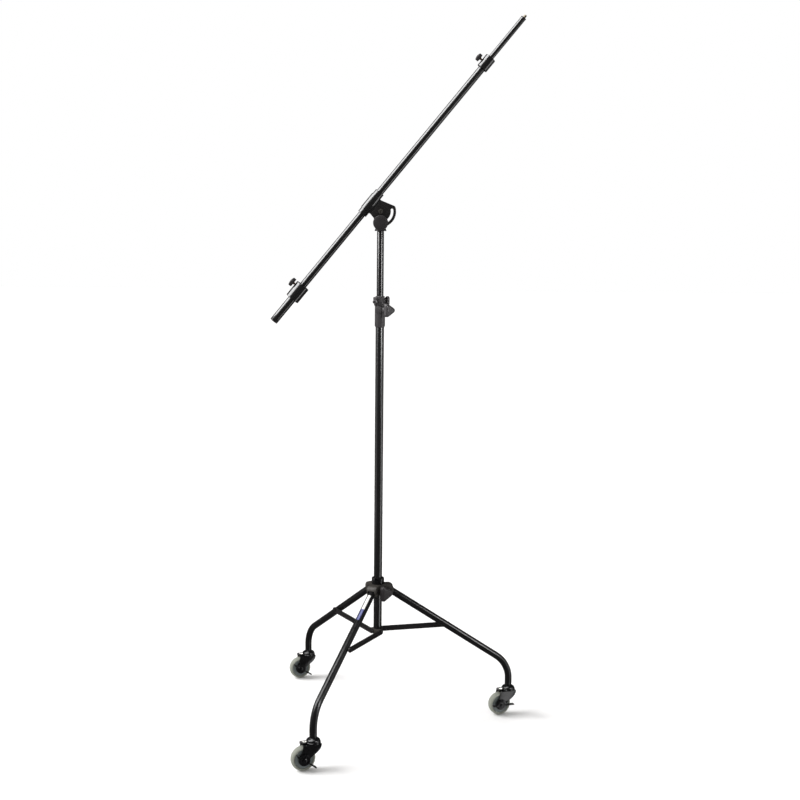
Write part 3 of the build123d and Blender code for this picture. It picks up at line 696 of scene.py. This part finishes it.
class STAND_OT_tilt_head(bpy.types.Operator):
    """Tilt head: tongue block, flared skirt, slotted cheeks, bolts and the round clamp knob"""
    bl_idname = "stand.tilt_head"
    bl_label = "Tilt head"

    def execute(self, context):
        s = sizes()
        rounded_copy("head_tongue", "tilt_head_block", "head", "black_casting", casting_coat(), 0.0006)
        rounded_copy("head_flare", "head_skirt", "head", "black_plastic", dark_plastic(), 0.0005)
        rounded_copy("slotted_cheeks", "boom_cheeks", "boom_cradle", "black_casting",
                     steel_coat(), s.sheet_edge)

        knob = at_joint("tilt_knob_turn")
        pivot = place(JOINTS["boom_tilt"]["pos_m"], JOINTS["tilt_knob_turn"]["axis"])
        shift = Matrix.Translation(pivot.inverted() @ knob.translation)
        low, high = reach("tilt_bolts", pivot)
        cheek = reach("boom_cheeks", pivot)[1].z + 0.0004
        hardware = [
            lathe([(0, high.z - 0.0012), (0.0030, high.z - 0.0012), (0.0036, high.z), (0.0056, high.z - 0.0004),
                   (0.0066, high.z - 0.0018), (0.0066, cheek), (0, cheek)], 56),
            washer(0.0084, 0.0042, cheek - 0.0004, cheek + 0.0008),
            hexagon(0.013, low.z, -cheek - 0.0010),
            washer(0.0098, 0.0042, -cheek - 0.0010, -cheek + 0.0002),
            lathe([(0, -cheek - 0.0072), (0.0034, -cheek - 0.0070), (0.004, -cheek - 0.0062), (0.004, cheek),
                   (0, cheek)], 32),
        ]
        level = Matrix.Translation((shift.translation.x, shift.translation.y, 0))
        hardware.append(moved(hexagon(0.013, low.z, -cheek - 0.0010), level))
        hardware.append(moved(washer(0.0098, 0.0037, -cheek - 0.0010, -cheek + 0.0002), level))
        piece("head_bolts", joined(*hardware), pivot, "head", "black_casting", casting_coat(), "tilt_bolts")

        low, high = reach("tilt_knob", knob)
        radius, _ = farthest("tilt_knob", knob)
        rim = high.z - 0.014
        disc = fluted_grip([
            (0, rim), (0.0125, rim), (0.0130, rim + 0.003), (radius - 0.003, rim + 0.003), (radius - 0.0024, rim),
            (radius - 0.0004, rim + 0.0002), (radius, rim + 0.002), (radius, high.z - 0.0034),
            (radius - 0.0006, high.z - 0.0022), (radius - 0.0020, high.z - 0.0016), (radius - 0.0026, high.z - 0.0020),
            (radius - 0.0034, high.z - 0.0017), (radius * 0.6, high.z - 0.0004), (0.004, high.z), (0, high.z),
        ], 40, 0.022, 160)
        piece("tilt_knob_disc", disc, knob, "tilt_knob", "black_plastic", dark_plastic(), "tilt_knob", sharp=45)
        boss = tube(0.011, 0.0036, cheek - (pivot.inverted() @ knob.translation).z + 0.0002, rim, 0.0006, 56)
        screw = thread(0.0035, 0.00125, low.z + 0.0008, rim)
        piece("tilt_knob_boss", boss, knob, "tilt_knob", "black_plastic", dark_plastic())
        piece("tilt_knob_screw", screw, knob, "tilt_knob", "zinc_steel", zinc())
        return {"FINISHED"}


class STAND_OT_boom(bpy.types.Operator):
    """Boom tubes, sleeve, collars, rear stub and the threaded tip"""
    bl_idname = "stand.boom"
    bl_label = "Boom"

    def execute(self, context):
        s = sizes()
        for node, body, wall in (
            ("boom_tube", "boom", 0.0015), ("boom_tip_tube", "boom_tip", 0.0015), ("rear_stub", "rear_stub", 0.00144),
        ):
            low, high = reach(node, BOOM)
            bm = tube(high.y, high.y - wall, low.z, high.z, s.tube_edge)
            piece(f"{node}_skin", bm, BOOM, body, "black_tube", boom_coat(), node)

        rounded_copy("sleeve_strap", "boom_strap", "boom_cradle", "black_casting",
                     boom_coat(), s.sheet_edge)
        low, high = reach("boom_bush", BOOM)
        lip = 0.0018
        bore = reach("boom_tube", BOOM)[1].y + 0.0001
        outer = high.y
        bush = lathe([
            (bore, low.z + 0.0008), (bore + 0.0008, low.z), (outer - 0.0006, low.z), (outer, low.z + 0.0006),
            (outer, low.z + lip), (outer - 0.0003, low.z + lip + 0.0004), (outer - 0.0003, high.z - lip - 0.0004),
            (outer, high.z - lip), (outer, high.z - 0.0006), (outer - 0.0006, high.z), (bore + 0.0008, high.z),
            (bore, high.z - 0.0008),
        ], 96, closed=True)
        piece("sleeve_bush", bush, BOOM, "boom_cradle", "natural_bush", boom_coat(), "boom_bush")

        rounded_copy("upper_boom_collar", "boom_upper_collar", "boom", "black_tube", boom_coat(), 0.0005)
        rounded_copy("lower_boom_collar", "boom_lower_collar", "rear_stub", "black_tube", boom_coat(), 0.0005)

        low, high = reach("rear_stub_cap", BOOM)
        radius = high.y
        cap = lathe([
            (0, low.z + 0.0004), (radius - 0.0030, low.z), (radius - 0.0010, low.z + 0.0003),
            (radius, low.z + 0.0012), (radius, low.z + 0.0029), (radius - 0.0015, low.z + 0.0030),
            (radius - 0.0015, high.z), (0, high.z),
        ])
        piece("rear_end_cap", soften(cap, 0.0003), BOOM, "rear_stub", "black_plastic", knob_plastic(),
              "rear_stub_cap")

        low, high = reach("boom_tip_stud", BOOM)
        stud_r, stud_long = 0.00476, 0.010
        shoulder = high.z - stud_long
        crown = high.y
        inner = reach("boom_tip_tube", BOOM)[1]
        plug_r = inner.y - 0.0016
        ferrule = lathe([
            (0, low.z), (plug_r, low.z), (plug_r, inner.z + 0.0001), (crown - 0.0003, inner.z + 0.0001),
            (crown, inner.z + 0.0005), (crown, shoulder - 0.0007), (crown - 0.0007, shoulder),
            (stud_r + 0.0007, shoulder), (stud_r + 0.0002, shoulder - 0.0003), (0, shoulder - 0.0003),
        ], 72)
        piece("tip_ferrule", ferrule, BOOM, "boom_tip", "black_plastic", knob_plastic(), "boom_tip_stud")
        point = lathe([(0, high.z - 0.0016), (stud_r - 0.0008, high.z - 0.0016), (stud_r - 0.0014, high.z),
                       (0, high.z)], 40)
        stud = joined(thread(stud_r, s.stud_pitch, shoulder - 0.0006, high.z + 0.0004, 32), point)
        piece("tip_thread", stud, BOOM, "boom_tip", "stud_brass", pale_brass())
        return {"FINISHED"}


class STAND_OT_thumb_screws(bpy.types.Operator):
    """Two fluted thumb screws with turned shanks"""
    bl_idname = "stand.thumb_screws"
    bl_label = "Thumb screws"

    def execute(self, context):
        pitch = sizes().screw_pitch
        for node, joint, body in (
            ("thumb_screw_lower", "rear_thumb_screw_turn", "rear_thumb_screw"),
            ("thumb_screw_upper", "tip_thumb_screw_turn", "tip_thumb_screw"),
        ):
            at = at_joint(joint)
            low, high = reach(node, at)
            radius = high.y
            rim, base = high.z - 0.0032, high.z - 0.0132
            grip = fluted_grip([
                (0, base), (radius * 0.50, base), (radius * 0.92, base + 0.0002), (radius * 0.98, base + 0.0008),
                (radius, base + 0.0018), (radius, rim - 0.0012), (radius * 0.97, rim - 0.0001),
                (radius * 0.88, rim + 0.0007), (radius * 0.66, rim + 0.0018), (radius * 0.40, high.z - 0.0005),
                (radius * 0.18, high.z - 0.0001), (0, high.z),
            ], 20, 0.035, 160)
            piece(f"{node}_grip", grip, at, body, "black_plastic", dark_plastic(), node, sharp=50)
            shank = joined(
                thread(0.003, pitch, low.z + 0.0005, base - 0.0028, 28),
                lathe([(0, base - 0.0032), (0.0026, base - 0.0032), (0.0041, base - 0.0024),
                       (0.0041, base + 0.0006), (0, base + 0.0006)], 48),
            )
            piece(f"{node}_shank", shank, at, body, "stud_brass", brass())
        return {"FINISHED"}


class STAND_OT_casters(bpy.types.Operator):
    """Three swivel casters: fork, domed housing, lock plunger, axle, tyre, core and brake pedal"""
    bl_idname = "stand.casters"
    bl_label = "Casters"

    def execute(self, context):
        for side in SIDES:
            self.housing(side)
            self.wheel(side)
            self.pedal(side)
        return {"FINISHED"}

    def housing(self, side):
        body = f"caster_{side}"
        rounded_copy(f"fork_{side}", f"caster_fork_{side}", body, "black_gloss", caster_gloss(), 0.0006)
        swivel = place(JOINTS[f"caster_swivel_{side}"]["pos_m"], UP)
        low, high = reach(f"caster_dome_{side}", swivel)
        radius, bore = high.y, 0.00515
        top = high.z
        dome = lathe([
            (bore, low.z), (radius - 0.0012, low.z), (radius, low.z + 0.0010), (radius, low.z + 0.0042),
            (radius - 0.0010, low.z + 0.0050), (radius - 0.0012, low.z + 0.0058), (radius - 0.0016, low.z + 0.0085),
            (radius - 0.0032, low.z + 0.0112), (radius - 0.0062, low.z + 0.0134), (radius - 0.0096, top - 0.0010),
            (0.0123, top - 0.0004), (0.0118, top), (0.0070, top), (bore, top - 0.0008),
        ], 80, closed=True)
        piece(f"dome_{side}", dome, swivel, body, "black_gloss", caster_gloss(), f"caster_dome_{side}")

        wheel = at_caster(side)
        near, far = reach(f"caster_hardware_{side}", wheel)
        fork_out = reach(f"caster_fork_{side}", wheel)[1].z
        cap = 0.0230
        axle = joined(
            hexagon(0.0125, near.z, -fork_out - 0.0012),
            washer(0.0085, 0.0041, -fork_out - 0.0012, -fork_out - 0.0001),
            lathe([(0, near.z), (0.004, near.z), (0.004, cap), (0, cap)], 40),
        )
        piece(f"axle_{side}", axle, wheel, body, "zinc_steel", zinc(), f"caster_hardware_{side}")
        bolt = lathe([
            (0, far.z), (0.0030, far.z), (0.0052, far.z - 0.0006), (0.0065, far.z - 0.0016), (0.0065, cap), (0, cap),
        ], 48)
        piece(f"axle_cap_{side}", bolt, wheel, body, "black_gloss", caster_gloss())

        out = (swivel.inverted() @ wheel.translation)
        out.z = 0
        seat = low.z + 0.00575
        plunger = place(swivel @ Vector((0, 0, seat)), swivel.to_3x3() @ out)
        start, reach_out = radius - 0.0004, radius + 0.019
        barrel = lathe([
            (0, start), (0.0052, start), (0.0052, reach_out - 0.0075), (0.0047, reach_out - 0.0068), (0, reach_out - 0.0068),
        ], 48)
        piece(f"plunger_{side}", soften(barrel, 0.0003), plunger, body, "zinc_steel", zinc())
        button = lathe([
            (0, reach_out - 0.0070), (0.0043, reach_out - 0.0070), (0.0050, reach_out - 0.0060),
            (0.0052, reach_out - 0.0012), (0.0044, reach_out), (0, reach_out),
        ], 48)
        piece(f"plunger_button_{side}", soften(button, 0.0004), plunger, body, "black_plastic", knob_plastic())

    def wheel(self, side):
        body = f"wheel_{side}"
        at = at_caster(side)
        _, high = reach(f"tyre_{side}", at)
        radius, half = high.x, high.z
        bore, disc = 0.022, 0.0292
        section = [
            (bore, -half + 0.0050), (disc - 0.0004, -half + 0.0046), (disc, -half + 0.0024),
            (disc + 0.0012, -half + 0.0012), (radius - 0.0066, -half + 0.0004), (radius - 0.0050, -half + 0.0003),
            (radius - 0.0018, -half + 0.0025), (radius - 0.0004, -half + 0.0060), (radius, -half * 0.3),
        ]
        profile = section + [(r, -z) for r, z in reversed(section)]
        piece(f"tyre_{side}_rubber", lathe(profile, 128, closed=True), at, body, "grey_tyre", tread_rubber(),
              f"tyre_{side}", sharp=38)
        rings = []
        for turn in (0, math.pi):
            ring = lathe([
                (bore - 0.0030, -half + 0.0034), (disc - 0.0012, -half + 0.0022), (disc - 0.0006, -half + 0.0026),
                (disc - 0.0006, -half + 0.0040), (bore - 0.0030, -half + 0.0044),
            ], 96, closed=True)
            rings.append(moved(ring, Matrix.Rotation(turn, 4, "X")))
        piece(f"wheel_face_{side}", joined(*rings), at, body, "grey_core", core_plastic())

        hub = 0.012
        face = 0.0090
        web = [
            (0.00405, -0.0135), (hub - 0.0008, -0.0135), (hub, -0.0126), (hub, -face + 0.0052),
            (bore - 0.0034, -face + 0.0052), (bore - 0.0026, -face), (bore - 0.00002, -face),
        ]
        core = lathe(web + [(r, -z) for r, z in reversed(web)], 96, closed=True)
        ribs = []
        for i in range(8):
            turn = Matrix.Rotation(math.tau * i / 8, 4, "Z")
            ribs.append(moved(slab((hub - 0.0008, -0.0011, -face + 0.0006), (bore - 0.0028, 0.0011, face - 0.0006),
                                   0.0004), turn))
        piece(f"core_{side}", joined(soften(core, 0.0003), *ribs), at, body, "grey_core", core_plastic(),
              f"wheel_core_{side}")

    def pedal(self, side):
        body = f"brake_{side}"
        at = at_caster(side)
        node = f"brake_lever_{side}"
        low, high = reach(node, at)
        _, angle = farthest(node, at)
        near, far = low.z, high.z
        disc_r, disc_far = 0.0175, near + 0.0052
        disc = lathe([
            (0.00405, near), (disc_r - 0.0006, near), (disc_r, near + 0.0006), (disc_r, disc_far - 0.0016),
            (disc_r - 0.0012, disc_far - 0.0004), (disc_r - 0.0030, disc_far), (0.0112, disc_far),
            (0.0104, disc_far - 0.0011), (0.0088, disc_far - 0.0011), (0.0082, disc_far - 0.0002),
            (0.00405, disc_far - 0.0002),
        ], 72, closed=True)
        shapes = [disc]
        turned = Matrix.Rotation(angle, 4, "Z")
        for start, end, bead in ((0.012, 0.041, 0.0022), (-0.012, -0.030, 0.0024)):
            first, last = min(start, end), max(start, end)
            shapes.append(moved(slab((first, -0.0017, near), (last, 0.0017, far), 0.0005), turned))
            tip = lathe([(0, near), (bead, near), (bead, far), (0, far)], 28)
            shapes.append(moved(soften(tip, 0.0005), turned @ Matrix.Translation((end, 0, 0))))
            for i in range(4):
                rib = end - math.copysign(0.0035 + 0.0028 * i, end)
                shapes.append(moved(slab((rib - 0.0005, -0.0023, near + 0.0008), (rib + 0.0005, 0.0023, far - 0.0008),
                                         0.0002), turned))
        piece(f"pedal_{side}", joined(*shapes), at, body, "black_gloss", caster_gloss(), node)


class STAND_OT_label(bpy.types.Operator):
    """A plain film label round the upper side of the front leg"""
    bl_idname = "stand.label"
    bl_label = "Label"

    def execute(self, context):
        s = sizes()
        at = at_leg("front")
        pivot = at.inverted() @ Vector(JOINTS["leg_hinge_front"]["pos_m"])
        along = Vector((math.cos(s.leg_slope), 0, -math.sin(s.leg_slope)))
        leg = at @ place(pivot, along)
        radius = reach("leg_tube_front", at)[1].y
        start, end = s.label_start, s.label_start + s.label_length
        seam = start + 0.57 * s.label_length
        self.film(leg, radius, start, seam, "label_white", label_film())
        self.film(leg, radius, seam, end, "label_end", label_band_film())
        return {"FINISHED"}

    def film(self, leg, radius, low, high, name, material):
        """A thin film bent round the leg; angles run from its top line towards the mast's left."""
        bm = bmesh.new()
        gap, thick = 0.00012, 0.00014
        first, wrap = math.radians(-31), math.radians(50)
        verts = [bm.verts.new((radius + gap, 0, z)) for z in (low, (low + high) / 2, high)]
        edges = [bm.edges.new(pair) for pair in zip(verts, verts[1:])]
        bmesh.ops.spin(bm, geom=verts + edges, cent=(0, 0, 0), axis=(0, 0, 1), angle=wrap, steps=20)
        bmesh.ops.recalc_face_normals(bm, faces=bm.faces)
        bmesh.ops.solidify(bm, geom=bm.faces[:], thickness=thick)
        bmesh.ops.rotate(bm, cent=(0, 0, 0), matrix=Matrix.Rotation(first, 3, "Z"), verts=bm.verts)
        piece(name, bm, leg, "leg_front", "black_tube", material)


class STAND_OT_studio(bpy.types.Operator):
    """Pale floor, soft lights and the camera"""
    bl_idname = "stand.studio"
    bl_label = "Studio"

    def execute(self, context):
        scene = context.scene
        bm = bmesh.new()
        bmesh.ops.create_grid(bm, x_segments=8, y_segments=8, size=30)
        mesh = bpy.data.meshes.new("floor")
        bm.to_mesh(mesh)
        bm.free()
        mesh.materials.append(finish("studio_floor", colours().floor, (0.75, 0.85), 40, 0.0002, mottle=0.01))
        floor = bpy.data.objects.new("floor", mesh)
        floor.location.z = -0.0006
        scene.collection.objects.link(floor)
        floor.visible_glossy = False

        world = bpy.data.worlds.new("studio")
        world.use_nodes = True
        nodes, links = world.node_tree.nodes, world.node_tree.links
        output = nodes["World Output"].inputs["Surface"]
        ray = nodes.new("ShaderNodeLightPath")

        def light(strength):
            made = nodes.new("ShaderNodeBackground")
            made.inputs["Color"].default_value = (1.0, 0.985, 0.975, 1)
            made.inputs["Strength"].default_value = strength
            return made.outputs[0]

        def choose(rays, yes, no):
            made = nodes.new("ShaderNodeMixShader")
            links.new(ray.outputs[rays], made.inputs[0])
            links.new(no, made.inputs[1])
            links.new(yes, made.inputs[2])
            return made.outputs[0]

        seen = nodes["Background"]
        seen.inputs["Color"].default_value = (1, 1, 1, 1)
        lit = choose("Is Glossy Ray", light(0.08), light(0.62))
        links.new(choose("Is Camera Ray", seen.outputs[0], lit), output)
        scene.world = world

        sun = bpy.data.lights.new("key", "SUN")
        sun.energy, sun.angle = 3.3, math.radians(38)
        key = bpy.data.objects.new("key", sun)
        key.matrix_world = place((0, 0, 3), (-0.76, 0.06, 0.65))
        key.visible_glossy = False
        scene.collection.objects.link(key)
        for name, aim, toward, far, wide, high, power, beam, glossy_only in (
            ("left_box", 1.1, (-0.99, -0.14, 0.0), 2.5, 2.2, 2.8, 13.0, 180, False),
            ("right_box", 1.1, (0.99, -0.12, 0.0), 2.5, 2.0, 2.8, 11.0, 180, True),
            ("boom_box", 2.6, (-0.76, -0.18, 0.62), 2.7, 3.0, 4.6, 500.0, 180, True),
            ("boom_bounce", 1.8, (0.743, -0.276, -0.61), 3.2, 0.7, 3.6, 26.0, 180, True),
            ("leg_box", 0.3, (0.69, -0.53, 0.48), 3.0, 0.6, 1.6, 8.0, 50, True),
            ("top_strip", 0.3, (0.0, -0.04, 1.0), 3.0, 0.25, 1.6, 1.4, 50, True),
        ):
            area = bpy.data.lights.new(name, "AREA")
            area.shape, area.size, area.size_y, area.energy = "RECTANGLE", wide, high, power
            area.spread = math.radians(beam)
            box = bpy.data.objects.new(name, area)
            out = Vector(toward).normalized()
            side = out.cross(UP) if abs(out.z) < 0.1 else Vector((0, 1, 0))
            if name == "boom_bounce":
                side = out.cross(BOOM_AXIS)
            box.matrix_world = place(UP * aim + out * far, out, side)
            box.visible_camera = False
            box.visible_diffuse = not glossy_only
            scene.collection.objects.link(box)
        scene.view_settings.view_transform = "Standard"

        data = bpy.data.cameras.new("camera")
        data.lens = 54.12
        camera = bpy.data.objects.new("camera", data)
        yaw, pitch, roll = -0.0174, 0.1372, 0.0100
        turned = Matrix.Rotation(yaw, 4, "Z") @ Matrix.Rotation(math.pi / 2 - pitch, 4, "X")
        eye = Matrix.Translation((0, -3.8355, 1.5949))
        camera.matrix_world = eye @ turned @ Matrix.Rotation(roll, 4, "Z")
        scene.collection.objects.link(camera)
        scene.camera = camera
        return {"FINISHED"}


OPERATORS = (
    STAND_OT_studio, STAND_OT_mast, STAND_OT_legs, STAND_OT_leg_collar, STAND_OT_braces, STAND_OT_height_clamp,
    STAND_OT_stop_collar, STAND_OT_tilt_head, STAND_OT_boom, STAND_OT_thumb_screws, STAND_OT_casters,
    STAND_OT_label,
)


class STAND_PT_panel(bpy.types.Panel):
    """Buttons and settings of the boom stand"""
    bl_idname = "STAND_PT_panel"
    bl_label = "Boom Stand"
    bl_space_type = "VIEW_3D"
    bl_region_type = "UI"
    bl_category = "Stand"

    def draw(self, context):
        for operator in OPERATORS:
            self.layout.operator(operator.bl_idname)
        for group in (context.scene.stand_sizes, context.scene.stand_colours):
            for name in group.__annotations__:
                self.layout.prop(group, name)


CLASSES = (StandSizes, StandColours, *OPERATORS, STAND_PT_panel)


def register():
    for cls in CLASSES:
        bpy.utils.register_class(cls)
    bpy.types.Scene.stand_sizes = bpy.props.PointerProperty(type=StandSizes)
    bpy.types.Scene.stand_colours = bpy.props.PointerProperty(type=StandColours)


def unregister():
    del bpy.types.Scene.stand_colours
    del bpy.types.Scene.stand_sizes
    for cls in reversed(CLASSES):
        bpy.utils.unregister_class(cls)


def main():
    register()
    for operator in OPERATORS:
        group, name = operator.bl_idname.split(".")
        getattr(getattr(bpy.ops, group), name)()


if __name__ == "__main__":
    main()
